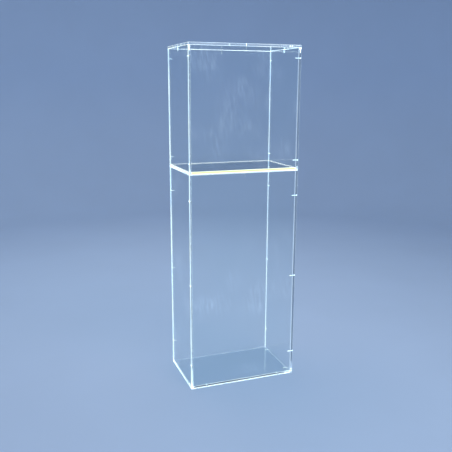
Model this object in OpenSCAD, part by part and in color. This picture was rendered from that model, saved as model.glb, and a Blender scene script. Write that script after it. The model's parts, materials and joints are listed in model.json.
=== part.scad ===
// Clear acrylic showcase: a tall plinth with a deck on top, and a five-sided
// display cube that stands round the deck plate and lifts straight off.
//
// Units are millimetres, +Z is up, +X is to the right of a viewer in front.
// The origin is on the floor, at the middle of the plinth.

/* [Case] */
// Overall width, side to side
case_w = 600; // [450:10:800]
// Overall depth, front to back
case_d = 375; // [300:5:550]
// Overall height, floor to top
case_h = 1800; // [1700:10:2000]
// Height of the plinth walls, up to the underside of the deck
plinth_h = 1161; // [1000:1:1250]

/* [Acrylic sheet] */
// Thickness of the walls, the top, the base and the deck plate
sheet = 12; // [10:1:15]
// Thickness of the thin plate that the cube stands on, under the deck plate
seat_t = 4; // [4:0.5:6]
// Width of the polished bevel along the edges of each sheet
bevel = 0.8; // [0.4:0.1:1]
// Gap between the deck plate and the inside of the cube, on each side
deck_gap = 1; // [0.5:0.25:2]

/* [Screws] */
// Length of the screws in the walls, the top and the base
screw_l = 30; // [24:1:34]
// Length of the screws that hold the deck seat to the plinth
deck_screw_l = 19; // [14:1:24]
// Outside diameter of the thread
screw_d = 4; // [3:0.5:4.5]
// Diameter of the countersunk head
head_d = 7.6; // [6.5:0.1:8.5]
// Distance of the plinth's end screws from the ends of its walls
plinth_end = 133; // [60:1:200]
// Distance of the cube's screws from the ends of its walls
cube_end = 52; // [40:1:120]
// Distance of the base screws from the outer corners, along the front and back
base_in_w = 90; // [50:1:150]
// Distance of the base screws from the outer corners, along the sides
base_in_d = 57.5; // [50:0.5:100]

/* [Hidden] */
$fn = 48;

// Colours: clear sheet with a cool tint, cream deck plate, pale yellow metal
clear_sheet = [0.80, 0.93, 0.97, 0.35];
cream_sheet = [0.98, 0.95, 0.76, 0.75];
screw_metal = [0.82, 0.78, 0.62];

half_w = case_w / 2;
half_d = case_d / 2;
mid_sheet = sheet / 2;

// Levels of the cube: it stands on the deck seat, and its top lies on its walls
cube_z = plinth_h + seat_t;
cube_wall_h = case_h - sheet - cube_z;

// Heights of the screws at each corner
plinth_rows = [plinth_end, plinth_h / 2, plinth_h - plinth_end];
cube_rows = [cube_z + cube_end, cube_z + cube_wall_h - cube_end];

// Screw head: a countersunk cone with a thin rim, and a cross recess
head_angle = 45;
rim_h = 0.3;
recess_w = 0.9;
recess_l = 4.2;
recess_h = 1.6;
tip_l = 3;

// Room round a screw in its hole, and past its point
hole_gap = 0.05;
hole_end = 1;
// Small overlap that keeps cut shapes from sharing a face
cut = 0.01;

// The walls chase each other round the box: each one covers the edge of the next,
// and its screws go through it into that edge. This gives the middle of that edge
// on the outer face of the wall, as seen from above.
function corner(face) =
    face == "left" ? [-half_w, half_d - mid_sheet] :
    face == "back" ? [half_w - mid_sheet, half_d] :
    face == "right" ? [half_w, mid_sheet - half_d] :
    [mid_sheet - half_w, -half_d];

function corner_heads(face, rows) = [for (z = rows) concat(corner(face), z)];

// Middle of each side, over the walls, at height z
function side_middles(z) = [
    [0, mid_sheet - half_d, z],
    [0, half_d - mid_sheet, z],
    [mid_sheet - half_w, 0, z],
    [half_w - mid_sheet, 0, z]];

// Screws into the edges of the base plate
function base_heads(face) =
    face == "front" || face == "back"
    ? [for (side = [-1, 1])
       [side * (half_w - base_in_w), face == "front" ? -half_d : half_d, mid_sheet]]
    : [for (side = [-1, 1])
       [face == "left" ? -half_w : half_w, side * (half_d - base_in_d), mid_sheet]];

// Turns a screw that points down so that its head lies in the named face
function turn(face) =
    face == "left" ? [0, -90, 0] :
    face == "right" ? [0, 90, 0] :
    face == "front" ? [90, 0, 0] :
    face == "back" ? [-90, 0, 0] :
    [0, 0, 0];

// Countersunk screw, head up, with the top of its head at z = 0
module screw(length) {
    cone_h = (head_d - screw_d) / 2 / tan(head_angle);
    difference() {
        rotate_extrude()
            polygon([[0, 0], [head_d / 2, 0], [head_d / 2, -rim_h],
                     [screw_d / 2, -rim_h - cone_h], [screw_d / 2, tip_l - length],
                     [0, -length]]);
        for (angle = [0, 90])
            rotate([0, 0, angle])
                translate([-recess_l / 2, -recess_w / 2, -recess_h])
                    cube([recess_l, recess_w, recess_h + cut]);
    }
}

// Hole for that screw, countersunk at the surface and a little longer than the screw
module screw_hole(length) {
    cone_h = (head_d - screw_d) / 2 / tan(head_angle);
    r = screw_d / 2 + hole_gap;
    translate([0, 0, -length - hole_end])
        cylinder(r = r, h = length + hole_end + cut);
    translate([0, 0, -rim_h - cone_h])
        cylinder(r1 = r, r2 = head_d / 2 + hole_gap, h = cone_h);
    translate([0, 0, -rim_h - cut])
        cylinder(r = head_d / 2 + hole_gap, h = rim_h + 2 * cut);
}

module screws(heads, face, length) {
    color(screw_metal)
        for (head = heads)
            translate(head)
                rotate(turn(face))
                    screw(length);
}

module screw_holes(heads, face, length) {
    for (head = heads)
        translate(head)
            rotate(turn(face))
                screw_hole(length);
}

// Rectangle with its four corners cut off by the bevel
module bevelled_outline(a, b) {
    polygon([[bevel, 0], [a - bevel, 0], [a, bevel], [a, b - bevel],
             [a - bevel, b], [bevel, b], [0, b - bevel], [0, bevel]]);
}

// Sheet of acrylic with all twelve edges bevelled, from the origin outwards
module panel(size) {
    intersection() {
        linear_extrude(size[2])
            bevelled_outline(size[0], size[1]);
        translate([0, size[1], 0])
            rotate([90, 0, 0])
                linear_extrude(size[1])
                    bevelled_outline(size[0], size[2]);
        rotate([90, 0, 90])
            linear_extrude(size[0])
                bevelled_outline(size[1], size[2]);
    }
}

// One wall of either box, standing at height z
module wall(face, z, height) {
    long = face == "front" || face == "back";
    size = long ? [case_w - sheet, sheet, height] : [sheet, case_d - sheet, height];
    start =
        face == "front" ? [-half_w, -half_d, z] :
        face == "back" ? [sheet - half_w, half_d - sheet, z] :
        face == "left" ? [-half_w, sheet - half_d, z] :
        [half_w - sheet, -half_d, z];
    translate(start)
        panel(size);
}

// The wall whose screws enter the far edge of each wall
function covering(face) =
    face == "front" ? "right" :
    face == "right" ? "back" :
    face == "back" ? "left" :
    "front";

module plinth_wall(face) {
    color(clear_sheet)
        difference() {
            wall(face, 0, plinth_h);
            screw_holes(corner_heads(face, plinth_rows), face, screw_l);
            screw_holes(corner_heads(covering(face), plinth_rows), covering(face), screw_l);
            screw_holes(base_heads(face), face, screw_l);
            screw_holes(side_middles(cube_z), "top", deck_screw_l);
        }
}

module cube_wall(face) {
    color(clear_sheet)
        difference() {
            wall(face, cube_z, cube_wall_h);
            screw_holes(corner_heads(face, cube_rows), face, screw_l);
            screw_holes(corner_heads(covering(face), cube_rows), covering(face), screw_l);
            screw_holes(side_middles(case_h), "top", screw_l);
        }
}

// Plate that covers the whole plan of the case, with its underside at height z
module full_plate(z, thickness) {
    translate([-half_w, -half_d, z])
        panel([case_w, case_d, thickness]);
}

// Plate that lies inside the walls, a gap away from them, with its underside at height z
module inner_plate(z, gap) {
    edge = sheet + gap;
    translate([edge - half_w, edge - half_d, z])
        panel([case_w - 2 * edge, case_d - 2 * edge, sheet]);
}

module plinth_front_wall() { plinth_wall("front"); }
module plinth_back_wall() { plinth_wall("back"); }
module plinth_left_wall() { plinth_wall("left"); }
module plinth_right_wall() { plinth_wall("right"); }

module base_plate() {
    color(clear_sheet)
        difference() {
            inner_plate(0, 0);
            for (face = ["front", "back", "left", "right"])
                screw_holes(base_heads(face), face, screw_l);
        }
}

module deck_seat() {
    color(clear_sheet)
        difference() {
            full_plate(plinth_h, seat_t);
            screw_holes(side_middles(cube_z), "top", deck_screw_l);
        }
}

module deck_plate() {
    color(cream_sheet)
        inner_plate(cube_z, deck_gap);
}

module cube_front_wall() { cube_wall("front"); }
module cube_back_wall() { cube_wall("back"); }
module cube_left_wall() { cube_wall("left"); }
module cube_right_wall() { cube_wall("right"); }

module cube_top() {
    color(clear_sheet)
        difference() {
            full_plate(case_h - sheet, sheet);
            screw_holes(side_middles(case_h), "top", screw_l);
        }
}

module plinth_front_left_screws() { screws(corner_heads("front", plinth_rows), "front", screw_l); }
module plinth_front_right_screws() { screws(corner_heads("right", plinth_rows), "right", screw_l); }
module plinth_back_left_screws() { screws(corner_heads("left", plinth_rows), "left", screw_l); }
module plinth_back_right_screws() { screws(corner_heads("back", plinth_rows), "back", screw_l); }

module base_front_screws() { screws(base_heads("front"), "front", screw_l); }
module base_back_screws() { screws(base_heads("back"), "back", screw_l); }
module base_left_screws() { screws(base_heads("left"), "left", screw_l); }
module base_right_screws() { screws(base_heads("right"), "right", screw_l); }

module deck_screws() { screws(side_middles(cube_z), "top", deck_screw_l); }

module cube_front_left_screws() { screws(corner_heads("front", cube_rows), "front", screw_l); }
module cube_front_right_screws() { screws(corner_heads("right", cube_rows), "right", screw_l); }
module cube_back_left_screws() { screws(corner_heads("left", cube_rows), "left", screw_l); }
module cube_back_right_screws() { screws(corner_heads("back", cube_rows), "back", screw_l); }

module top_screws() { screws(side_middles(case_h), "top", screw_l); }

plinth_front_wall();
plinth_back_wall();
plinth_left_wall();
plinth_right_wall();
base_plate();
deck_seat();
deck_plate();
cube_front_wall();
cube_back_wall();
cube_left_wall();
cube_right_wall();
cube_top();
plinth_front_left_screws();
plinth_front_right_screws();
plinth_back_left_screws();
plinth_back_right_screws();
base_front_screws();
base_back_screws();
base_left_screws();
base_right_screws();
deck_screws();
cube_front_left_screws();
cube_front_right_screws();
cube_back_left_screws();
cube_back_right_screws();
top_screws();
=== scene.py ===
"""Clear acrylic showcase: a plinth with a deck, and a display cube that lifts off it.

The sheets, their edges, holes and screws are built around the packed frame.
"""

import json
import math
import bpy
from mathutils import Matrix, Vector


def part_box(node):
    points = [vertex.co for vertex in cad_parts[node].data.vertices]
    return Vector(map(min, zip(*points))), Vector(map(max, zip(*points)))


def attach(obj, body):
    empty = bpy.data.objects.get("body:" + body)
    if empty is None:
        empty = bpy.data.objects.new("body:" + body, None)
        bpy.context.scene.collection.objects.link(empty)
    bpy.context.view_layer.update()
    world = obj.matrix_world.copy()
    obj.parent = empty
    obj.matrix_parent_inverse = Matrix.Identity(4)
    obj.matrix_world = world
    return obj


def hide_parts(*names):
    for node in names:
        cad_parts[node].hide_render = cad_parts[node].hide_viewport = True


bl_info = {
    "name": "Acrylic Showcase",
    "version": (1, 0, 0),
    "blender": (4, 5, 0),
    "location": "View3D > Sidebar > Showcase",
    "description": "Clear acrylic plinth with a display cube that lifts off it",
    "category": "Object",
}

import bmesh
import bpy
from bpy.props import FloatProperty, FloatVectorProperty, PointerProperty
from mathutils import Matrix, Vector

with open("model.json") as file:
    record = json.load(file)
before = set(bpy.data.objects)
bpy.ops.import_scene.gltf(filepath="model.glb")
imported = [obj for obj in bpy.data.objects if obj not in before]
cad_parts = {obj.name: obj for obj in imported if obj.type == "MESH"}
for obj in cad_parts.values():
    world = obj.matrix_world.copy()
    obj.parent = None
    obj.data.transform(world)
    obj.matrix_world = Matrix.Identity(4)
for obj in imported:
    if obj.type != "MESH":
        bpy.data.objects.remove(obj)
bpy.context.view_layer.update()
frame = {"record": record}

# Each group of screws: its CAD node, the face that its heads lie in, and its length setting
SCREW_GROUPS = (
    ("plinth_front_left_screws", "front", "wall"),
    ("plinth_front_right_screws", "right", "wall"),
    ("plinth_back_left_screws", "left", "wall"),
    ("plinth_back_right_screws", "back", "wall"),
    ("base_front_screws", "front", "wall"),
    ("base_back_screws", "back", "wall"),
    ("base_left_screws", "left", "wall"),
    ("base_right_screws", "right", "wall"),
    ("deck_screws", "top", "deck"),
    ("cube_front_left_screws", "front", "wall"),
    ("cube_front_right_screws", "right", "wall"),
    ("cube_back_left_screws", "left", "wall"),
    ("cube_back_right_screws", "back", "wall"),
    ("top_screws", "top", "wall"),
)
OUTWARD = {
    "front": Vector((0, -1, 0)),
    "back": Vector((0, 1, 0)),
    "left": Vector((-1, 0, 0)),
    "right": Vector((1, 0, 0)),
    "top": Vector((0, 0, 1)),
}
WALLS = ("front", "back", "left", "right")
SHEETS = (
    [f"plinth_{side}_wall" for side in WALLS]
    + ["base_plate", "deck_seat", "deck_plate"]
    + [f"cube_{side}_wall" for side in WALLS]
    + ["cube_top"]
)

# Sides of each sheet whose glow is painted brighter, where a long run of light would end: first
# those whose edges shine, then those whose arrises do
SHINE = {
    "plinth_front_wall": ("left", "left bottom"),
    "plinth_left_wall": ("back bottom", "back bottom"),
    "plinth_back_wall": ("left right", "left right"),
    "plinth_right_wall": ("back", "back"),
    "base_plate": ("left", "left front"),
    "deck_seat": ("left", "left front"),
    "cube_front_wall": ("left", "left"),
    "cube_left_wall": ("back", "back"),
    "cube_back_wall": ("left right", "left right top"),
    "cube_right_wall": ("back", "back top"),
    "cube_top": ("", "left front"),
}

# Holes whose glow is painted dimmer (shaded) or brighter (shining) than the others, by group of
# screws and sheet
HOLE_GLOW = {
    ("base_back_screws", "plinth_back_wall"): "shaded_hole",
    ("base_back_screws", "base_plate"): "shaded_hole",
    ("deck_screws", "deck_seat"): "shaded_hole",
    **{("deck_screws", f"plinth_{side}_wall"): "shaded_hole" for side in WALLS},
    ("top_screws", "cube_front_wall"): "shaded_hole",
    ("top_screws", "cube_back_wall"): "shaded_hole",
    ("top_screws", "cube_left_wall"): "shining_hole",
    ("top_screws", "cube_right_wall"): "shining_hole",
}

SIDE_NAMES = {
    (0, -1): "left",
    (0, 1): "right",
    (1, -1): "front",
    (1, 1): "back",
    (2, -1): "bottom",
    (2, 1): "top",
}

ACRYLIC_IOR = 1.49

# What light from the lamps keeps of each colour as it passes a face, and an edge
FACE_PASSES = (0.93, 0.96, 0.97)
EDGE_PASSES = (0.85, 0.92, 0.94)

# Surface detail: how strongly hairlines and dust dull a face, and the painted glow of the wiping
# haze
HAIRLINE_AMOUNT = 0.16
FACE_DUST = 0.25
DECK_DUST = 0.4
HAZE_LIGHT = (0.70, 0.86, 1.0, 1.0)
HAZE_GLOW = 0.09

# Fineness of each noise, in features per metre
FACE_TONES = 2.2
FACE_WAVES = 3.0
HAZE_PATCHES = 3.4
DUSTY_PATCHES = 5.0
HAIRLINE_BREAKS = 9.0
SLOW_FADES = 3.5
SPARKLES = 700.0
CHATTER = 260.0
HOLE_PATCHES = 40.0
DECK_PATCHES = 14.0
METAL_PATCHES = 420.0
FLOOR_MOTTLE = 1.4

# Heights of the slow wave in a face, and of cut marks in an edge, the deck's edge and the metal
WAVE_HEIGHT = 0.0006
EDGE_MARKS = 0.00004
DECK_MARKS = 0.00006
METAL_MARKS = 0.00002

# Where the painted glow of the deck plate's edge turns from cream to pale, behind its front
PALE_START = 0.001
PALE_END = 0.006

# Screw: rounding of the head's rim and its middle facet, rounding under the head, how much
# thinner the plain shank is than the thread, where the shank and its run-out end under the neck,
# and lengths of the tapered end and of the blunt tip
HEAD_ROUND = 0.00015
RIM_FACET = 0.00004
NECK_ROUND = 0.0001
SHANK_SLACK = 0.00003
SHANK_END = 0.0012
RUN_OUT_END = 0.0016
TAPER = 0.003
TIP = 0.0006

# Thread: its depth as a share of the pitch, its start under the neck and its end above the point,
# steps in one turn, and its root as a share of the core
THREAD_DEPTH = 0.6
THREAD_START = 0.0018
THREAD_END = 0.0022
THREAD_STEPS = 18
THREAD_ROOT = 0.93
# Half the width of the ridge at its root and at its crest, as shares of the pitch
ROOT_HALF = 0.46
CREST_HALF = 0.07

# Cross recess at its mouth and at its floor: height, half its length and half its width
RECESS = ((0.0002, 0.0022, 0.00052), (-0.0016, 0.0011, 0.0003))

# Sides of a turned shape, the radius under which a point is on its axis, and the least angle in
# degrees between two faces of a screw that stays a sharp edge
LATHE_SIDES = 32
ON_AXIS = 1e-7
SHARP_ANGLE = 34
# Turn of each screw from the one before, in radians
SCREW_TURN = 2.4

# Hole: how far its cutter stands out of the face, and the height of the cone the drill leaves
HOLE_MOUTH = 0.002
DRILL_CONE = 0.0008

# Two sheets touch if their faces are this close and share more than this width
TOUCH = 0.0001
SHARED = 0.001
# Facets across a rounded edge, and how well the normal of a flat face agrees with its side's
ROUND_SEGMENTS = 3
FLAT = 0.9999

# Camera: its place, its turns in degrees about its own axes, its lens in millimetres, its reach
CAMERA_PLACE = (-1.174, -3.078, 1.591)
CAMERA_TURNS = (("Z", -20.29), ("X", 77.18), ("Z", 0.19))
CAMERA_LENS = 48.61
CAMERA_REACH = (0.05, 60.0)

# Studio floor: rings in its flat part, radius of the bend at its rim and rings in it, height of
# the wall, sides round it, and its gap under the plinth
FLAT_RINGS = 6
FLOOR_BEND = 1.8
BEND_RINGS = 16
WALL_TOP = 6.2
FLOOR_SIDES = 128
FLOOR_GAP = 0.0003

# Soft lights: name, place, aim, width and depth, and share of the key light's power
LIGHTS = (
    ("front_light", (0.8, -3.4, 4.4), (0.5, -2.4, 0.0), (3.4, 2.4), 1.0),
    ("top_light", (-0.4, 1.6, 4.5), (-0.2, 1.6, 0.0), (3.0, 3.0), 0.8),
)
AIR_COLOUR = (0.75, 0.85, 1.0, 1.0)
AIR_STRENGTH = 0.25


# Settings


class ShowcaseSheets(bpy.types.PropertyGroup):
    """Sizes of the acrylic sheets"""

    edge_round: FloatProperty(
        name="Edge round",
        description="Radius of the polished rounding along the edges of each sheet",
        default=0.0008,
        min=0.0004,
        max=0.001,
        unit="LENGTH",
        precision=4,
    )
    joint_gap: FloatProperty(
        name="Joint gap",
        description="Air left between two sheets that are screwed together dry",
        default=0.0001,
        min=0.00005,
        max=0.0003,
        unit="LENGTH",
        precision=5,
    )
    hole_gap: FloatProperty(
        name="Hole gap",
        description="Room round each screw in its hole",
        default=0.00005,
        min=0.00002,
        max=0.0002,
        unit="LENGTH",
        precision=5,
    )
    hole_end: FloatProperty(
        name="Hole end",
        description="Room past the point of each screw in its hole",
        default=0.001,
        min=0.0005,
        max=0.002,
        unit="LENGTH",
        precision=4,
    )


class ShowcaseScrews(bpy.types.PropertyGroup):
    """Sizes of the countersunk screws"""

    wall: FloatProperty(
        name="Wall screw length",
        description="Length of the screws in the walls, the top and the base",
        default=0.030,
        min=0.024,
        max=0.034,
        unit="LENGTH",
        precision=4,
    )
    deck: FloatProperty(
        name="Deck screw length",
        description="Length of the screws that hold the deck seat to the plinth",
        default=0.019,
        min=0.014,
        max=0.024,
        unit="LENGTH",
        precision=4,
    )
    thread_d: FloatProperty(
        name="Thread diameter",
        description="Outside diameter of the thread",
        default=0.004,
        min=0.003,
        max=0.0045,
        unit="LENGTH",
        precision=4,
    )
    pitch: FloatProperty(
        name="Thread pitch",
        description="Height of one turn of the thread",
        default=0.0007,
        min=0.0005,
        max=0.001,
        unit="LENGTH",
        precision=5,
    )
    head_d: FloatProperty(
        name="Head diameter",
        description="Diameter of the countersunk head",
        default=0.0076,
        min=0.0065,
        max=0.0085,
        unit="LENGTH",
        precision=4,
    )
    rim: FloatProperty(
        name="Head rim",
        description="Height of the straight rim of the head",
        default=0.0003,
        min=0.0001,
        max=0.0005,
        unit="LENGTH",
        precision=5,
    )


class ShowcaseFinishAndGlow(bpy.types.PropertyGroup):
    """Colours of the acrylic, its edges and the screws"""

    sheet_tint: FloatVectorProperty(
        name="Sheet tint",
        description="Faint tint of the clear sheet",
        subtype="COLOR",
        default=(0.955, 0.985, 0.985),
        min=0.0,
        max=1.0,
    )
    # edge_light, edge_cool, deck_light and deck_pale are colours of the painted glow of the edges
    edge_light: FloatVectorProperty(
        name="Edge light",
        description="Light that the polished edges give back",
        subtype="COLOR",
        default=(0.72, 0.93, 0.90),
        min=0.0,
        max=1.0,
    )
    edge_cool: FloatVectorProperty(
        name="Cool edge light",
        description="Bluer light in parts of the polished edges",
        subtype="COLOR",
        default=(0.50, 0.78, 1.0),
        min=0.0,
        max=1.0,
    )
    deck_light: FloatVectorProperty(
        name="Deck edge light",
        description="Cream light of the edges of the deck plate",
        subtype="COLOR",
        default=(0.98, 0.93, 0.42),
        min=0.0,
        max=1.0,
    )
    deck_pale: FloatVectorProperty(
        name="Pale deck edge light",
        description="Paler light at the sides and the back of the deck plate",
        subtype="COLOR",
        default=(0.92, 0.98, 0.84),
        min=0.0,
        max=1.0,
    )
    screw_metal: FloatVectorProperty(
        name="Screw metal",
        description="Plated metal of the screws",
        subtype="COLOR",
        default=(0.80, 0.84, 0.80),
        min=0.0,
        max=1.0,
    )


class ShowcaseStage(bpy.types.PropertyGroup):
    """Floor and light of the studio"""

    floor_colour: FloatVectorProperty(
        name="Floor colour",
        description="Pale colour of the studio floor",
        subtype="COLOR",
        default=(0.45, 0.58, 0.77),
        min=0.0,
        max=1.0,
    )
    floor_radius: FloatProperty(
        name="Floor radius",
        description="Radius of the flat part of the studio floor",
        default=4.4,
        min=3.5,
        max=8.0,
        unit="LENGTH",
    )
    key_power: FloatProperty(
        name="Key light",
        description="Power of the large soft light in front",
        default=120.0,
        min=0.0,
        max=2000.0,
        unit="POWER",
    )


# Node helpers


def set_inputs(tree, made, inputs):
    """Sets each input of a node, given as a value or as a socket to link."""
    for key, value in (inputs or {}).items():
        if isinstance(value, bpy.types.NodeSocket):
            tree.links.new(value, made.inputs[key])
        else:
            made.inputs[key].default_value = value


def add_node(tree, kind, inputs=None, **settings):
    """A node with its settings and its inputs."""
    made = tree.nodes.new(kind)
    for key, value in settings.items():
        setattr(made, key, value)
    set_inputs(tree, made, inputs)
    return made


def maths(tree, operation, a, b=0.0):
    """Number made from a and b by a named operation."""
    return add_node(tree, "ShaderNodeMath", {0: a, 1: b}, operation=operation).outputs[0]


def mixed(tree, share, a, b):
    """Colour a turned into colour b by share."""
    return add_node(tree, "ShaderNodeMix", {0: share, 6: a, 7: b}, data_type="RGBA").outputs[2]


def ramped(tree, value, low, high, to_low=0.0, to_high=1.0):
    """Value held between low and high and spread over the second range."""
    spread = {"From Min": low, "From Max": high, "To Min": to_low, "To Max": to_high}
    return add_node(tree, "ShaderNodeMapRange", {"Value": value, **spread}).outputs[0]


def noise(tree, place, scale, detail=2.0):
    """Cloudy noise between 0 and 1."""
    inputs = {"Vector": place, "Scale": scale, "Detail": detail}
    return add_node(tree, "ShaderNodeTexNoise", inputs).outputs[0]


def mapped(tree, place, **how):
    """Place moved, turned or stretched, by Location, Rotation or Scale."""
    return add_node(tree, "ShaderNodeMapping", {"Vector": place, **how}).outputs[0]


def scaled(tree, vector, share):
    """Vector or colour times a number."""
    inputs = {0: vector, "Scale": share}
    return add_node(tree, "ShaderNodeVectorMath", inputs, operation="SCALE").outputs[0]


def own_place(tree):
    """Place on the piece in its own metres."""
    return add_node(tree, "ShaderNodeTexCoord").outputs["Object"]


def bumped(tree, height, distance, strength=1.0):
    """Normal bent by a height."""
    inputs = {"Height": height, "Distance": distance, "Strength": strength}
    return add_node(tree, "ShaderNodeBump", inputs).outputs[0]


# Node groups


def new_group(name, inputs, outputs):
    """A shader node group with named sockets, and its two end nodes."""
    tree = bpy.data.node_groups.new(name, "ShaderNodeTree")
    for label, kind, default in inputs:
        socket = tree.interface.new_socket(name=label, in_out="INPUT", socket_type=kind)
        socket.default_value = default
    for label, kind in outputs:
        tree.interface.new_socket(name=label, in_out="OUTPUT", socket_type=kind)
    return tree, tree.nodes.new("NodeGroupInput"), tree.nodes.new("NodeGroupOutput")


def use_group(tree, maker, inputs=None):
    """The group that maker builds and its docstring names, with this material's own values."""
    name = maker.__doc__.split(":")[0]
    group = bpy.data.node_groups.get(name) or maker(name)
    return add_node(tree, "ShaderNodeGroup", inputs, node_tree=group).outputs


def edge_light_group(name):
    """Edge light: light caught in an edge, in two tints, brighter in some places."""
    tree, start, end = new_group(
        name,
        [
            ("Light", "NodeSocketColor", (1, 1, 1, 1)),
            ("Second light", "NodeSocketColor", (1, 1, 1, 1)),
            ("Patches per metre", "NodeSocketFloat", 6.0),
            ("Dimming", "NodeSocketFloat", 0.3),
        ],
        [("Colour", "NodeSocketColor")],
    )
    place = own_place(tree)
    patches = noise(tree, place, start.outputs["Patches per metre"])
    share = ramped(tree, patches, 0.38, 0.62)
    tint = mixed(tree, share, start.outputs["Light"], start.outputs["Second light"])
    slow = noise(tree, mapped(tree, place, Scale=(1.0, 1.3, 0.8)), SLOW_FADES)
    sparkle = noise(tree, place, SPARKLES, 1.0)
    slow_loss = ramped(tree, slow, 0.35, 0.65, 0.8, 0.0)
    fine_loss = ramped(tree, sparkle, 0.3, 0.7, 0.2, 0.0)
    loss = maths(tree, "ADD", slow_loss, fine_loss)
    left = maths(tree, "SUBTRACT", 1.0, maths(tree, "MULTIPLY", loss, start.outputs["Dimming"]))
    tree.links.new(scaled(tree, tint, left), end.inputs["Colour"])
    return tree


def hairlines_group(name):
    """Hairlines: sparse fine wiping scratches on polished acrylic."""
    tree, start, end = new_group(
        name,
        [("Lines per metre", "NodeSocketFloat", 400.0), ("Amount", "NodeSocketFloat", 0.1)],
        [("Mask", "NodeSocketFloat")],
    )
    place = own_place(tree)
    found = None
    for turn, stretch in ((0.35, 0.012), (-0.6, 0.0168)):
        turned = mapped(tree, place, Rotation=(turn, turn, turn))
        thin = mapped(tree, turned, Scale=(1.0, 1.0, stretch))
        lines = noise(tree, thin, start.outputs["Lines per metre"], 1.0)
        off_middle = maths(tree, "ABSOLUTE", maths(tree, "SUBTRACT", lines, 0.5))
        line = ramped(tree, off_middle, 0.0, 0.012, 1.0, 0.0)
        found = line if found is None else maths(tree, "MAXIMUM", found, line)
    broken = ramped(tree, noise(tree, place, HAIRLINE_BREAKS), 0.52, 0.62)
    seen = maths(tree, "MULTIPLY", found, broken)
    tree.links.new(maths(tree, "MULTIPLY", seen, start.outputs["Amount"]), end.inputs["Mask"])
    return tree


def wiping_haze_glow_group(name):
    """Wiping haze: faint upright streaks that a cloth leaves, in a few patches."""
    tree, start, end = new_group(
        name,
        [
            ("Streaks per metre", "NodeSocketFloat", 75.0),
            ("Light", "NodeSocketColor", (1, 1, 1, 1)),
        ],
        [("Colour", "NodeSocketColor")],
    )
    place = own_place(tree)
    leaning = mapped(tree, place, Rotation=(0.12, 0.14, 0.0))
    long = mapped(tree, leaning, Scale=(1.0, 1.0, 0.16))
    streaks = noise(tree, long, start.outputs["Streaks per metre"])
    moved = mapped(tree, place, Location=(0.55, 0.2, 0.3))
    patches = noise(tree, moved, HAZE_PATCHES, 1.0)
    streak, patch = ramped(tree, streaks, 0.48, 0.7), ramped(tree, patches, 0.56, 0.74)
    mask = maths(tree, "MULTIPLY", streak, patch)
    colour = mixed(tree, mask, (0, 0, 0, 1), start.outputs["Light"])
    tree.links.new(colour, end.inputs["Colour"])
    return tree


def dust_group(name):
    """Dust: tiny specks, thicker in some places."""
    tree, start, end = new_group(
        name,
        [("Specks per metre", "NodeSocketFloat", 90.0), ("Amount", "NodeSocketFloat", 0.3)],
        [("Mask", "NodeSocketFloat")],
    )
    place = own_place(tree)
    inputs = {"Vector": place, "Scale": start.outputs["Specks per metre"]}
    cells = add_node(tree, "ShaderNodeTexVoronoi", inputs).outputs["Distance"]
    size = ramped(tree, noise(tree, place, DUSTY_PATCHES), 0.4, 0.7, 0.015, 0.07)
    speck = maths(tree, "LESS_THAN", cells, size)
    tree.links.new(maths(tree, "MULTIPLY", speck, start.outputs["Amount"]), end.inputs["Mask"])
    return tree


def cut_marks_group(name):
    """Cut marks: fine even lines that a saw or a drill leaves, with some chatter."""
    tree, start, end = new_group(
        name,
        [
            ("Lines per metre", "NodeSocketFloat", 2200.0),
            ("Stretch", "NodeSocketVector", (1.0, 1.0, 1.0)),
        ],
        [("Height", "NodeSocketFloat"), ("Mask", "NodeSocketFloat")],
    )
    inputs = {0: own_place(tree), 1: start.outputs["Stretch"]}
    place = add_node(tree, "ShaderNodeVectorMath", inputs, operation="MULTIPLY").outputs[0]
    lines = maths(tree, "MULTIPLY", noise(tree, place, start.outputs["Lines per metre"]), 0.7)
    chatter = maths(tree, "MULTIPLY", noise(tree, place, CHATTER, 1.0), 0.3)
    height = maths(tree, "ADD", lines, chatter)
    tree.links.new(height, end.inputs["Height"])
    tree.links.new(ramped(tree, height, 0.42, 0.6), end.inputs["Mask"])
    return tree


# Materials


def rgba(colour, scale=1.0):
    """Colour with its alpha, made darker or lighter by scale."""
    return (*[c * scale for c in colour[:3]], 1.0)


def new_material(name):
    """The empty node tree of a new material. Its faint light isn't sampled as a lamp."""
    material = bpy.data.materials.new(name)
    material.use_nodes = True
    tree = material.node_tree
    tree.nodes.clear()
    material.cycles.emission_sampling = "NONE"
    return tree


def plain_shader(tree, surface):
    """Shader of a surface that light doesn't pass."""
    shown = add_node(tree, "ShaderNodeBsdfPrincipled", surface).outputs[0]
    add_node(tree, "ShaderNodeOutputMaterial", {"Surface": shown})


def acrylic_shader(tree, surface, passes, glow):
    """Clear acrylic that bends the view, and lets the studio's light through to the floor."""
    inputs = {
        "Transmission Weight": 1.0,
        "IOR": ACRYLIC_IOR,
        "Metallic": 0.0,
        "Emission Strength": glow,
        **surface,
    }
    shown = add_node(tree, "ShaderNodeBsdfPrincipled", inputs).outputs[0]
    clear = add_node(tree, "ShaderNodeBsdfTransparent", {"Color": rgba(passes)}).outputs[0]
    path = add_node(tree, "ShaderNodeLightPath").outputs
    for ray in ("Is Shadow Ray", "Is Diffuse Ray"):
        mix = {0: path[ray], 1: shown, 2: clear}
        shown = add_node(tree, "ShaderNodeMixShader", mix).outputs[0]
    add_node(tree, "ShaderNodeOutputMaterial", {"Surface": shown})


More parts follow.
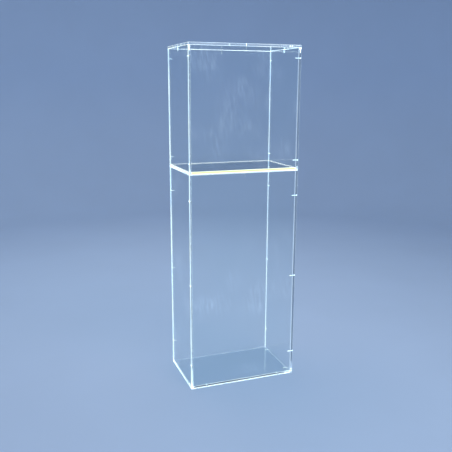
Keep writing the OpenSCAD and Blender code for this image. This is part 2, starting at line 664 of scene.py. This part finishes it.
def clear_face(name, tint, dust):
    """Polished face of a sheet: a faint tint, hairlines, wiping haze, dust and a slow wave."""
    tree = new_material(name)
    place = own_place(tree)
    depth = ramped(tree, noise(tree, place, FACE_TONES), 0.35, 0.65)
    colour = mixed(tree, depth, rgba(tint), rgba([0.5 + c / 2 for c in tint]))
    lines = use_group(tree, hairlines_group, {"Amount": HAIRLINE_AMOUNT})["Mask"]
    specks = use_group(tree, dust_group, {"Amount": dust})["Mask"]
    rough = maths(tree, "MAXIMUM", lines, specks)
    wave = bumped(tree, noise(tree, place, FACE_WAVES, 1.0), WAVE_HEIGHT, 0.25)
    # The haze is real wiping streaks, drawn as a painted glow
    haze = use_group(tree, wiping_haze_glow_group, {"Light": HAZE_LIGHT})["Colour"]
    surface = {"Base Color": colour, "Roughness": rough, "Normal": wave, "Emission Color": haze}
    acrylic_shader(tree, surface, FACE_PASSES, HAZE_GLOW)


def lit_edge(name, light, second, glow, dimming, roughness=0.06, patches=6.0):
    """Edge of a sheet that gives back the light caught inside it."""
    tree = new_material(name)
    inputs = {
        "Light": rgba(light),
        "Second light": rgba(second),
        "Patches per metre": patches,
        "Dimming": dimming,
    }
    colour = use_group(tree, edge_light_group, inputs)["Colour"]
    marks = use_group(tree, cut_marks_group)
    rough = ramped(tree, marks["Mask"], 0.0, 1.0, roughness * 0.5, roughness * 1.5)
    normal = bumped(tree, marks["Height"], EDGE_MARKS, 0.4)
    clean = rgba([0.9 + c / 10 for c in light])
    body = mixed(tree, marks["Mask"], clean, (0.97, 0.99, 0.99, 1))
    surface = {"Base Color": body, "Roughness": rough, "Normal": normal, "Emission Color": colour}
    acrylic_shader(tree, surface, EDGE_PASSES, glow)


def cream_edge(name, light, pale, glow):
    """Sanded edge of the deck plate, full of soft light: cream at the front, paler behind it."""
    tree = new_material(name)
    depth = add_node(tree, "ShaderNodeSeparateXYZ", {0: own_place(tree)}).outputs["Y"]
    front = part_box("deck_plate")[0].y
    # The cream front and the paler, brighter sides and back are painted light, in both the colour
    # and the glow
    behind = ramped(tree, depth, front + PALE_START, front + PALE_END)
    share = ramped(tree, behind, 0.0, 1.0, 0.68, 1.4)
    tint = mixed(tree, behind, rgba(light), rgba(pale))
    marks = use_group(tree, cut_marks_group, {"Stretch": (0.25, 0.25, 1.0)})
    patches = noise(tree, own_place(tree), DECK_PATCHES, 3.0)
    worn = maths(tree, "MULTIPLY", marks["Mask"], 0.12)
    body = mixed(tree, worn, tint, rgba(light, 0.8))
    lit = maths(tree, "MULTIPLY", ramped(tree, patches, 0.35, 0.65, 0.9, 1.0), share)
    surface = {
        "Base Color": body,
        "Roughness": ramped(tree, marks["Mask"], 0.0, 1.0, 0.3, 0.5),
        "Normal": bumped(tree, marks["Height"], DECK_MARKS, 0.5),
        "Emission Color": scaled(tree, body, lit),
        "Emission Strength": glow,
    }
    plain_shader(tree, surface)


def screw_metal(name, colour):
    """Bright plated metal, with fine turning marks and duller patches in the thread."""
    tree = new_material(name)
    place = own_place(tree)
    patches = noise(tree, place, METAL_PATCHES, 3.0)
    tint = mixed(tree, ramped(tree, patches, 0.4, 0.7), rgba(colour), rgba(colour, 0.78))
    marks = use_group(tree, cut_marks_group, {"Lines per metre": 5200.0})
    worn = ramped(tree, patches, 0.35, 0.7, 0.12, 0.28)
    rough = maths(tree, "ADD", worn, maths(tree, "MULTIPLY", marks["Mask"], 0.08))
    normal = bumped(tree, marks["Height"], METAL_MARKS, 0.5)
    surface = {"Base Color": tint, "Metallic": 1.0, "Roughness": rough, "Normal": normal}
    plain_shader(tree, surface)


def studio_floor(name, colour):
    """Pale matt studio floor with a very slight mottle."""
    tree = new_material(name)
    mottle = ramped(tree, noise(tree, own_place(tree), FLOOR_MOTTLE, 3.0), 0.3, 0.7)
    tint = mixed(tree, mottle, rgba(colour, 0.985), rgba(colour, 1.015))
    plain_shader(tree, {"Base Color": tint, "Roughness": 0.7, "Specular IOR Level": 0.2})


def finishes():
    """The materials of the sheets and the screws, by name, built once."""
    if "clear_face" in bpy.data.materials:
        return bpy.data.materials
    # finish holds the sheet tint, the screw metal and the colours of the painted edge glow
    finish = bpy.context.scene.showcase_finish
    light, cool = finish.edge_light, finish.edge_cool
    white, blue = (0.86, 1.0, 0.95), (0.70, 0.92, 1.0)
    calm, calm_blue = (0.40, 0.60, 1.0), (0.46, 0.66, 1.0)
    warm_clear, pale_green, deck_white = (0.99, 0.985, 0.955), (0.90, 1.0, 0.84), (0.88, 0.97, 0.92)
    clear_face("clear_face", finish.sheet_tint, FACE_DUST)
    clear_face("deck_face", warm_clear, DECK_DUST)
    # Every edge, arris and hole here has a painted glow; shining copies are painted brighter,
    # shaded copies dimmer
    # Name, light, second light, glow, and how much dimmer the light is in places
    lit_edge("clear_edge", calm, calm_blue, 0.05, 0.2)
    lit_edge("polished_edge", calm, calm_blue, 0.4, 0.1)
    lit_edge("shining_edge", light, cool, 0.9, 0.35)
    lit_edge("sawn_edge", calm, calm_blue, 0.4, 0.2, roughness=0.25)
    lit_edge("shaded_joint", calm, calm_blue, 0.2, 0.2, roughness=0.25)
    lit_edge("shining_joint", light, cool, 1.1, 0.3, roughness=0.25)
    lit_edge("plain_arris", white, blue, 0.55, 0.4)
    lit_edge("shining_arris", white, blue, 2.6, 0.4)
    drilled = {"roughness": 0.3, "patches": HOLE_PATCHES}
    lit_edge("drilled_hole", pale_green, cool, 1.15, 0.2, **drilled)
    lit_edge("shining_hole", light, cool, 3.5, 0.2, **drilled)
    lit_edge("shaded_hole", cool, calm, 0.3, 0.2, **drilled)
    lit_edge("deck_arris", deck_white, finish.deck_pale, 2.8, 0.2, roughness=0.2)
    cream_edge("deck_edge", finish.deck_light, finish.deck_pale, 0.9)
    screw_metal("screw_metal", finish.screw_metal)
    return bpy.data.materials


# Mesh helpers


def to_mesh(bm, name):
    """A new mesh of what the bmesh holds. The bmesh is freed."""
    mesh = bpy.data.meshes.new(name)
    bm.to_mesh(mesh)
    bm.free()
    return mesh


def add_mesh(bm, part):
    """Adds a mesh to the bmesh, and removes the mesh."""
    bm.from_mesh(part)
    bpy.data.meshes.remove(part)


def add_object(name, data):
    """A new object in the scene."""
    made = bpy.data.objects.new(name, data)
    bpy.context.scene.collection.objects.link(made)
    return made


def ring(bm, radius, z, sides):
    """A ring of points about z, or one point where it lies on the axis."""
    if radius < ON_AXIS:
        return [bm.verts.new((0, 0, z))]
    turns = [2 * math.pi * i / sides for i in range(sides)]
    return [bm.verts.new((radius * math.cos(a), radius * math.sin(a), z)) for a in turns]


def join_rings(bm, rings, sides):
    """Faces from each ring of points to the next."""
    for upper, lower in zip(rings, rings[1:]):
        for i in range(sides):
            j = (i + 1) % sides
            corners = [
                upper[i % len(upper)],
                lower[i % len(lower)],
                lower[j % len(lower)],
                upper[j % len(upper)],
            ]
            bm.faces.new([v for k, v in enumerate(corners) if v not in corners[:k]])


def lathe(bm, outline):
    """Turns an outline of (radius, z) points about z. The ends of the outline lie on the axis."""
    rings = [ring(bm, radius, z, LATHE_SIDES) for radius, z in outline]
    join_rings(bm, rings, LATHE_SIDES)


def closed_tube(bm, loops):
    """Faces from each loop of points to the next, with both ends closed."""
    for one, two in zip(loops, loops[1:]):
        for i in range(len(one)):
            j = (i + 1) % len(one)
            bm.faces.new((one[i], one[j], two[j], two[i]))
    bm.faces.new(loops[0][::-1])
    bm.faces.new(loops[-1])
    bmesh.ops.recalc_face_normals(bm, faces=bm.faces)


def cut_away(mesh, cutter):
    """Mesh less cutter, as a new mesh. Both are removed."""
    whole, tool = add_object("whole", mesh), add_object("tool", cutter)
    step = whole.modifiers.new("cut", "BOOLEAN")
    step.operation, step.solver, step.object = "DIFFERENCE", "EXACT", tool
    bpy.context.view_layer.update()
    graph = bpy.context.evaluated_depsgraph_get()
    made = bpy.data.meshes.new_from_object(whole.evaluated_get(graph), depsgraph=graph)
    for obj in (whole, tool):
        data = obj.data
        bpy.data.objects.remove(obj)
        bpy.data.meshes.remove(data)
    if not made.polygons:
        raise RuntimeError("a cut left nothing")
    return made


# Placing


def body_of_node(node):
    """The body that holds a CAD node."""
    for body, nodes in frame["record"]["behaviour"]["bodies"].items():
        if node in nodes:
            return body
    raise RuntimeError(f"no body holds {node}")


def place_piece(name, mesh, materials, node):
    """Puts a piece in the scene that stands for its CAD node and rides on that node's body."""
    for material in materials:
        mesh.materials.append(material)
    piece = add_object(name, mesh)
    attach(piece, body_of_node(node))
    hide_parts(node)


# Screws


def screw_places(node, face):
    """The middle of the top of each head in a group of screws, from the box of the CAD node."""
    low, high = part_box(node)
    half = bpy.context.scene.showcase_screws.head_d / 2
    if face == "top":
        middle = (low + high) / 2
        return [
            Vector((middle.x, low.y + half, high.z)),
            Vector((middle.x, high.y - half, high.z)),
            Vector((low.x + half, middle.y, high.z)),
            Vector((high.x - half, middle.y, high.z)),
        ]
    outward = OUTWARD[face]
    depth = 0 if outward.x else 1
    across = 1 - depth
    upright = high.z - low.z > high[across] - low[across]
    along, other = (2, across) if upright else (across, 2)
    first, last = low[along] + half, high[along] - half
    count = 3 if upright and node.startswith("plinth") else 2
    places = []
    for i in range(count):
        place = Vector()
        place[depth] = high[depth] if outward[depth] > 0 else low[depth]
        place[along] = first + (last - first) * i / (count - 1)
        place[other] = (low[other] + high[other]) / 2
        places.append(place)
    return places


def head_turn(place, outward):
    """Takes a screw or a hole that points down from z = 0 to its place in a face."""
    return Matrix.Translation(place) @ outward.to_track_quat("Z", "Y").to_matrix().to_4x4()


def thread(bm, core, crest, start, end):
    """A helical ridge on a core, from z start down to z end, fading out at both ends."""
    pitch = bpy.context.scene.showcase_screws.pitch
    steps = int((start - end) / pitch * THREAD_STEPS)
    root = core * THREAD_ROOT
    loops = []
    for i in range(steps + 1):
        a = 2 * math.pi * i / THREAD_STEPS
        z = start - pitch * i / THREAD_STEPS
        fade = min(1.0, i / THREAD_STEPS, (steps - i) / THREAD_STEPS)
        top = core + (crest - core) * fade
        profile = ((root, ROOT_HALF), (top, CREST_HALF), (top, -CREST_HALF), (root, -ROOT_HALF))
        points = [(r * math.cos(a), r * math.sin(a), z + pitch * lift) for r, lift in profile]
        loops.append([bm.verts.new(point) for point in points])
    closed_tube(bm, loops)


def cross_cutter():
    """Tapered cross that cuts the recess of a head."""
    bm = bmesh.new()
    loops = []
    for z, long, wide in RECESS:
        corners = [
            Matrix.Rotation(turn * math.pi / 2, 3, "Z") @ Vector((x, y, z))
            for turn in range(4)
            for x, y in ((wide, wide), (wide, long), (-wide, long))
        ]
        loops.append([bm.verts.new(corner) for corner in corners])
    closed_tube(bm, loops)
    return to_mesh(bm, "cross")


def screw_blank(length):
    """One countersunk screw, pointing down, with the top of its head at z = 0."""
    screws = bpy.context.scene.showcase_screws
    head, crest = screws.head_d / 2, screws.thread_d / 2
    core = crest - THREAD_DEPTH * screws.pitch
    shank = crest - SHANK_SLACK
    neck = -screws.rim - (head - crest)
    bm = bmesh.new()
    lathe(
        bm,
        [
            (0.0, 0.0),
            (head - HEAD_ROUND, 0.0),
            (head - RIM_FACET, -RIM_FACET),
            (head, -HEAD_ROUND),
            (head, -screws.rim),
            (crest + NECK_ROUND, neck + NECK_ROUND),
            (shank, neck - 2 * NECK_ROUND),
            (shank, neck - SHANK_END),
            (core, neck - RUN_OUT_END),
            (core, -length + TAPER),
            (core * 0.5, -length + TIP),
            (0.0, -length),
        ],
    )
    bmesh.ops.recalc_face_normals(bm, faces=bm.faces)
    body = cut_away(to_mesh(bm, "blank"), cross_cutter())
    ridge = bmesh.new()
    thread(ridge, core, crest, neck - THREAD_START, -length + THREAD_END)
    bm = bmesh.new()
    add_mesh(bm, body)
    add_mesh(bm, to_mesh(ridge, "ridge"))
    return to_mesh(bm, "screw")


def build_screws(body):
    """The groups of screws on a body, each screw turned a little differently."""
    screws = bpy.context.scene.showcase_screws
    metal = finishes()["screw_metal"]
    blanks = {}
    for number, (node, face, length) in enumerate(SCREW_GROUPS):
        if body_of_node(node) != body:
            continue
        if length not in blanks:
            blanks[length] = screw_blank(getattr(screws, length))
        bm = bmesh.new()
        for i, place in enumerate(screw_places(node, face)):
            spin = Matrix.Rotation(SCREW_TURN * (number * 3 + i), 4, "Z")
            screw = blanks[length].copy()
            screw.transform(head_turn(place, OUTWARD[face]) @ spin)
            add_mesh(bm, screw)
        mesh = to_mesh(bm, node)
        for polygon in mesh.polygons:
            polygon.use_smooth = True
        mesh.set_sharp_from_angle(angle=math.radians(SHARP_ANGLE))
        name = node.replace("_screws", "_threaded_screws")
        place_piece(name, mesh, [metal], node)
    for mesh in blanks.values():
        bpy.data.meshes.remove(mesh)


# Sheets


def screw_hole(place, outward, reach):
    """The hole of one screw: countersunk, with room round the screw and past its point."""
    screws = bpy.context.scene.showcase_screws
    gap = bpy.context.scene.showcase_sheets.hole_gap
    head, shank = screws.head_d / 2 + gap, screws.thread_d / 2 + gap
    neck = -screws.rim - (screws.head_d - screws.thread_d) / 2
    hole = bmesh.new()
    lathe(
        hole,
        [
            (0.0, HOLE_MOUTH),
            (head, HOLE_MOUTH),
            (head, -screws.rim),
            (shank, neck),
            (shank, -reach + DRILL_CONE),
            (0.0, -reach),
        ],
    )
    bmesh.ops.transform(hole, matrix=head_turn(place, outward), verts=hole.verts)
    bmesh.ops.recalc_face_normals(hole, faces=hole.faces)
    return to_mesh(hole, "hole")


def hole_cutter(low, high):
    """The holes of every screw that reaches into the box from low to high, or None."""
    screws = bpy.context.scene.showcase_screws
    sheets = bpy.context.scene.showcase_sheets
    head = screws.head_d / 2 + sheets.hole_gap
    bm = bmesh.new()
    for node, face, length in SCREW_GROUPS:
        reach = getattr(screws, length) + sheets.hole_end
        outward = OUTWARD[face]
        for place in screw_places(node, face):
            ends = place, place - outward * reach
            if all(
                max(e[k] for e in ends) + head > low[k] and min(e[k] for e in ends) - head < high[k]
                for k in range(3)
            ):
                add_mesh(bm, screw_hole(place, outward, reach))
    if bm.verts:
        return to_mesh(bm, "holes")
    bm.free()
    return None


def thin_axis(low, high):
    """The axis along which the box is thinnest."""
    size = high - low
    return min(range(3), key=lambda k: size[k])


def touches(low, high, axis, sign):
    """True if another sheet lies against this side of the box."""
    side = high[axis] if sign > 0 else low[axis]
    across = [k for k in range(3) if k != axis]
    for other in SHEETS:
        a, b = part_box(other)
        facing = a[axis] if sign > 0 else b[axis]
        shared = all(min(high[k], b[k]) - max(low[k], a[k]) > SHARED for k in across)
        if abs(facing - side) < TOUCH and shared:
            return True
    return False


def rounded_box(low, high):
    """The box from low to high with its edges rounded."""
    bm = bmesh.new()
    bmesh.ops.create_cube(bm, size=1.0)
    stretch = Matrix.Diagonal((*(high - low), 1.0))
    bmesh.ops.transform(bm, matrix=Matrix.Translation((low + high) / 2) @ stretch, verts=bm.verts)
    bmesh.ops.bevel(
        bm,
        geom=bm.edges[:],
        offset=bpy.context.scene.showcase_sheets.edge_round,
        segments=ROUND_SEGMENTS,
        profile=0.5,
        affect="EDGES",
        clamp_overlap=True,
    )
    return bm


def sort_faces(node, mesh, low, high, joined):
    """The finish of each face of a sheet. Rounded faces are shaded smooth, flat ones flat."""
    thin = thin_axis(low, high)
    edge_round = bpy.context.scene.showcase_sheets.edge_round
    bright_edges, bright_arrises = [sides.split() for sides in SHINE.get(node, ("", ""))]
    heads = [
        (group, place)
        for group, face, _ in SCREW_GROUPS
        for place in screw_places(group, face)
    ]
    kinds = []
    for polygon in mesh.polygons:
        centre = polygon.center
        near = [
            (k, s)
            for k in range(3)
            for s, side in ((-1, low[k]), (1, high[k]))
            if abs(centre[k] - side) < edge_round
        ]
        flat = next((side for side in near if polygon.normal[side[0]] * side[1] > FLAT), None)
        if flat and flat[0] == thin:
            kinds.append("clear_face")
        elif flat:
            bright = SIDE_NAMES[flat] in bright_edges
            if flat in joined:
                kinds.append("shining_joint" if bright else "sawn_edge")
            else:
                kinds.append("shining_edge" if bright else "polished_edge")
        elif len(near) > 1:
            bright = any(SIDE_NAMES[side] in bright_arrises for side in near)
            kinds.append("shining_arris" if bright else "plain_arris")
        else:
            # Each hole takes its painted glow, plain, dimmer or brighter, from the group of the
            # nearest screw
            group = min(heads, key=lambda head: (head[1] - centre).length)[0]
            kinds.append(HOLE_GLOW.get((group, node), "drilled_hole"))
        polygon.use_smooth = not flat
    return kinds


def build_sheet(node, name, finish_and_glow_names=None):
    """One sheet of acrylic with rounded, polished edges and its countersunk holes."""
    gap = bpy.context.scene.showcase_sheets.joint_gap
    low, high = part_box(node)
    thin = thin_axis(low, high)
    joined = {(k, s) for k in range(3) for s in (-1, 1) if touches(low, high, k, s)}
    for k, s in joined:
        # Only edges give way to the gap, and the underside of a sheet laid flat on another
        if k == thin and (k, s) != (2, -1):
            continue
        if s > 0:
            high[k] -= gap
        else:
            low[k] += gap
    mesh = to_mesh(rounded_box(low, high), name)
    cutter = hole_cutter(low, high)
    if cutter:
        mesh = cut_away(mesh, cutter)
        mesh.name = name
    kinds = sort_faces(node, mesh, low, high, joined)
    kinds = [(finish_and_glow_names or {}).get(kind, kind) for kind in kinds]
    used = sorted(set(kinds))
    for polygon, kind in zip(mesh.polygons, kinds):
        polygon.material_index = used.index(kind)
    made = finishes()
    place_piece(name, mesh, [made[kind] for kind in used], node)


# Stage


def soft_light(name, place, aim, size, power):
    """A large soft lamp, turned to its aim."""
    lamp = bpy.data.lights.new(name, "AREA")
    lamp.shape = "RECTANGLE"
    lamp.size, lamp.size_y = size
    lamp.energy = power
    obj = add_object(name, lamp)
    obj.location = place
    obj.rotation_euler = (Vector(aim) - Vector(place)).to_track_quat("-Z", "Y").to_euler()
    # The sheets pass lamp light straight on, so it isn't counted a second time through them
    obj.visible_transmission = False


def build_camera():
    """Camera at eye level, in front and to the left."""
    lens = bpy.data.cameras.new("eye_level")
    lens.lens, lens.sensor_width, lens.sensor_fit = CAMERA_LENS, 36.0, "AUTO"
    lens.clip_start, lens.clip_end = CAMERA_REACH
    camera = add_object("eye_level", lens)
    camera.location = CAMERA_PLACE
    turn = Matrix()
    for axis, degrees in CAMERA_TURNS:
        turn = turn @ Matrix.Rotation(math.radians(degrees), 4, axis)
    camera.rotation_euler = turn.to_euler()
    bpy.context.scene.camera = camera


def build_floor():
    """Floor that curves up into a wall all round."""
    stage = bpy.context.scene.showcase_stage
    flat = stage.floor_radius
    outline = [(flat * i / FLAT_RINGS, 0.0) for i in range(1, FLAT_RINGS + 1)]
    for i in range(1, BEND_RINGS + 1):
        a = math.pi / 2 * i / BEND_RINGS
        outline.append((flat + FLOOR_BEND * math.sin(a), FLOOR_BEND * (1 - math.cos(a))))
    outline.append((flat + FLOOR_BEND, WALL_TOP))
    bm = bmesh.new()
    rings = [ring(bm, radius, z - FLOOR_GAP, FLOOR_SIDES) for radius, z in outline]
    bm.faces.new(rings[0])
    join_rings(bm, rings, FLOOR_SIDES)
    for face in bm.faces:
        face.smooth = True
    mesh = to_mesh(bm, "studio_floor")
    studio_floor("studio_floor", stage.floor_colour)
    mesh.materials.append(bpy.data.materials["studio_floor"])
    add_object("studio_floor", mesh)


class SHOWCASE_OT_stage(bpy.types.Operator):
    """Make the camera, the pale floor and the soft studio light"""

    bl_idname = "showcase.stage"
    bl_label = "Stage"

    def execute(self, context):
        build_camera()
        build_floor()
        power = context.scene.showcase_stage.key_power
        for name, place, aim, size, share in LIGHTS:
            soft_light(name, place, aim, size, power * share)
        air = bpy.data.worlds.new("studio_air")
        air.use_nodes = True
        background = air.node_tree.nodes["Background"].inputs
        background["Color"].default_value = AIR_COLOUR
        background["Strength"].default_value = AIR_STRENGTH
        context.scene.world = air
        context.scene.view_settings.view_transform = "Standard"
        return {"FINISHED"}


# Pieces


class SHOWCASE_OT_plinth_walls(bpy.types.Operator):
    """Build the four walls of the plinth"""

    bl_idname = "showcase.plinth_walls"
    bl_label = "Plinth walls"

    def execute(self, context):
        for side in WALLS:
            build_sheet(f"plinth_{side}_wall", f"plinth_{side}_sheet")
        return {"FINISHED"}


class SHOWCASE_OT_base_plate(bpy.types.Operator):
    """Build the plate between the feet of the plinth walls"""

    bl_idname = "showcase.base_plate"
    bl_label = "Base plate"

    def execute(self, context):
        # The joints of the base plate get a dimmer painted glow
        build_sheet("base_plate", "base_sheet", {"sawn_edge": "shaded_joint"})
        return {"FINISHED"}


class SHOWCASE_OT_deck_seat(bpy.types.Operator):
    """Build the thin plate that closes the plinth and carries the cube"""

    bl_idname = "showcase.deck_seat"
    bl_label = "Deck seat"

    def execute(self, context):
        build_sheet("deck_seat", "deck_seat_sheet")
        return {"FINISHED"}


class SHOWCASE_OT_deck_plate(bpy.types.Operator):
    """Build the deck plate, with its cream edges"""

    bl_idname = "showcase.deck_plate"
    bl_label = "Deck plate"

    def execute(self, context):
        cream = {"clear_face": "deck_face", "polished_edge": "deck_edge", "sawn_edge": "deck_edge"}
        build_sheet("deck_plate", "deck_sheet", {**cream, "plain_arris": "deck_arris"})
        return {"FINISHED"}


class SHOWCASE_OT_cube_walls(bpy.types.Operator):
    """Build the four walls of the display cube"""

    bl_idname = "showcase.cube_walls"
    bl_label = "Cube walls"

    def execute(self, context):
        for side in WALLS:
            build_sheet(f"cube_{side}_wall", f"cube_{side}_sheet")
        return {"FINISHED"}


class SHOWCASE_OT_cube_top(bpy.types.Operator):
    """Build the top of the display cube"""

    bl_idname = "showcase.cube_top"
    bl_label = "Cube top"

    def execute(self, context):
        # The edges of the top get the faintest painted glow
        build_sheet("cube_top", "cube_top_sheet", {"polished_edge": "clear_edge"})
        return {"FINISHED"}


class SHOWCASE_OT_plinth_screws(bpy.types.Operator):
    """Drive the screws of the plinth, its base and its deck"""

    bl_idname = "showcase.plinth_screws"
    bl_label = "Plinth screws"

    def execute(self, context):
        build_screws("plinth")
        return {"FINISHED"}


class SHOWCASE_OT_cube_screws(bpy.types.Operator):
    """Drive the screws of the display cube and its top"""

    bl_idname = "showcase.cube_screws"
    bl_label = "Cube screws"

    def execute(self, context):
        build_screws("display_cube")
        return {"FINISHED"}


STEPS = (
    SHOWCASE_OT_stage,
    SHOWCASE_OT_plinth_walls,
    SHOWCASE_OT_base_plate,
    SHOWCASE_OT_deck_seat,
    SHOWCASE_OT_deck_plate,
    SHOWCASE_OT_cube_walls,
    SHOWCASE_OT_cube_top,
    SHOWCASE_OT_plinth_screws,
    SHOWCASE_OT_cube_screws,
)
GROUPS = {
    "showcase_sheets": ShowcaseSheets,
    "showcase_screws": ShowcaseScrews,
    "showcase_finish": ShowcaseFinishAndGlow,
    "showcase_stage": ShowcaseStage,
}


class SHOWCASE_PT_panel(bpy.types.Panel):
    """Sizes, colours and pieces of the showcase"""

    bl_idname = "SHOWCASE_PT_panel"
    bl_label = "Acrylic Showcase"
    bl_space_type = "VIEW_3D"
    bl_region_type = "UI"
    bl_category = "Showcase"

    def draw(self, context):
        for name, group in GROUPS.items():
            box = self.layout.box()
            box.label(text=group.__doc__)
            for key in group.__annotations__:
                box.prop(getattr(context.scene, name), key)
        for step in STEPS:
            self.layout.operator(step.bl_idname)


CLASSES = (*GROUPS.values(), *STEPS, SHOWCASE_PT_panel)


def register():
    for cls in CLASSES:
        bpy.utils.register_class(cls)
    for name, group in GROUPS.items():
        setattr(bpy.types.Scene, name, PointerProperty(type=group))


def unregister():
    for name in GROUPS:
        delattr(bpy.types.Scene, name)
    for cls in reversed(CLASSES):
        bpy.utils.unregister_class(cls)


def main():
    register()
    for step in STEPS:
        area, name = step.bl_idname.split(".")
        getattr(getattr(bpy.ops, area), name)()


if __name__ == "__main__":
    main()
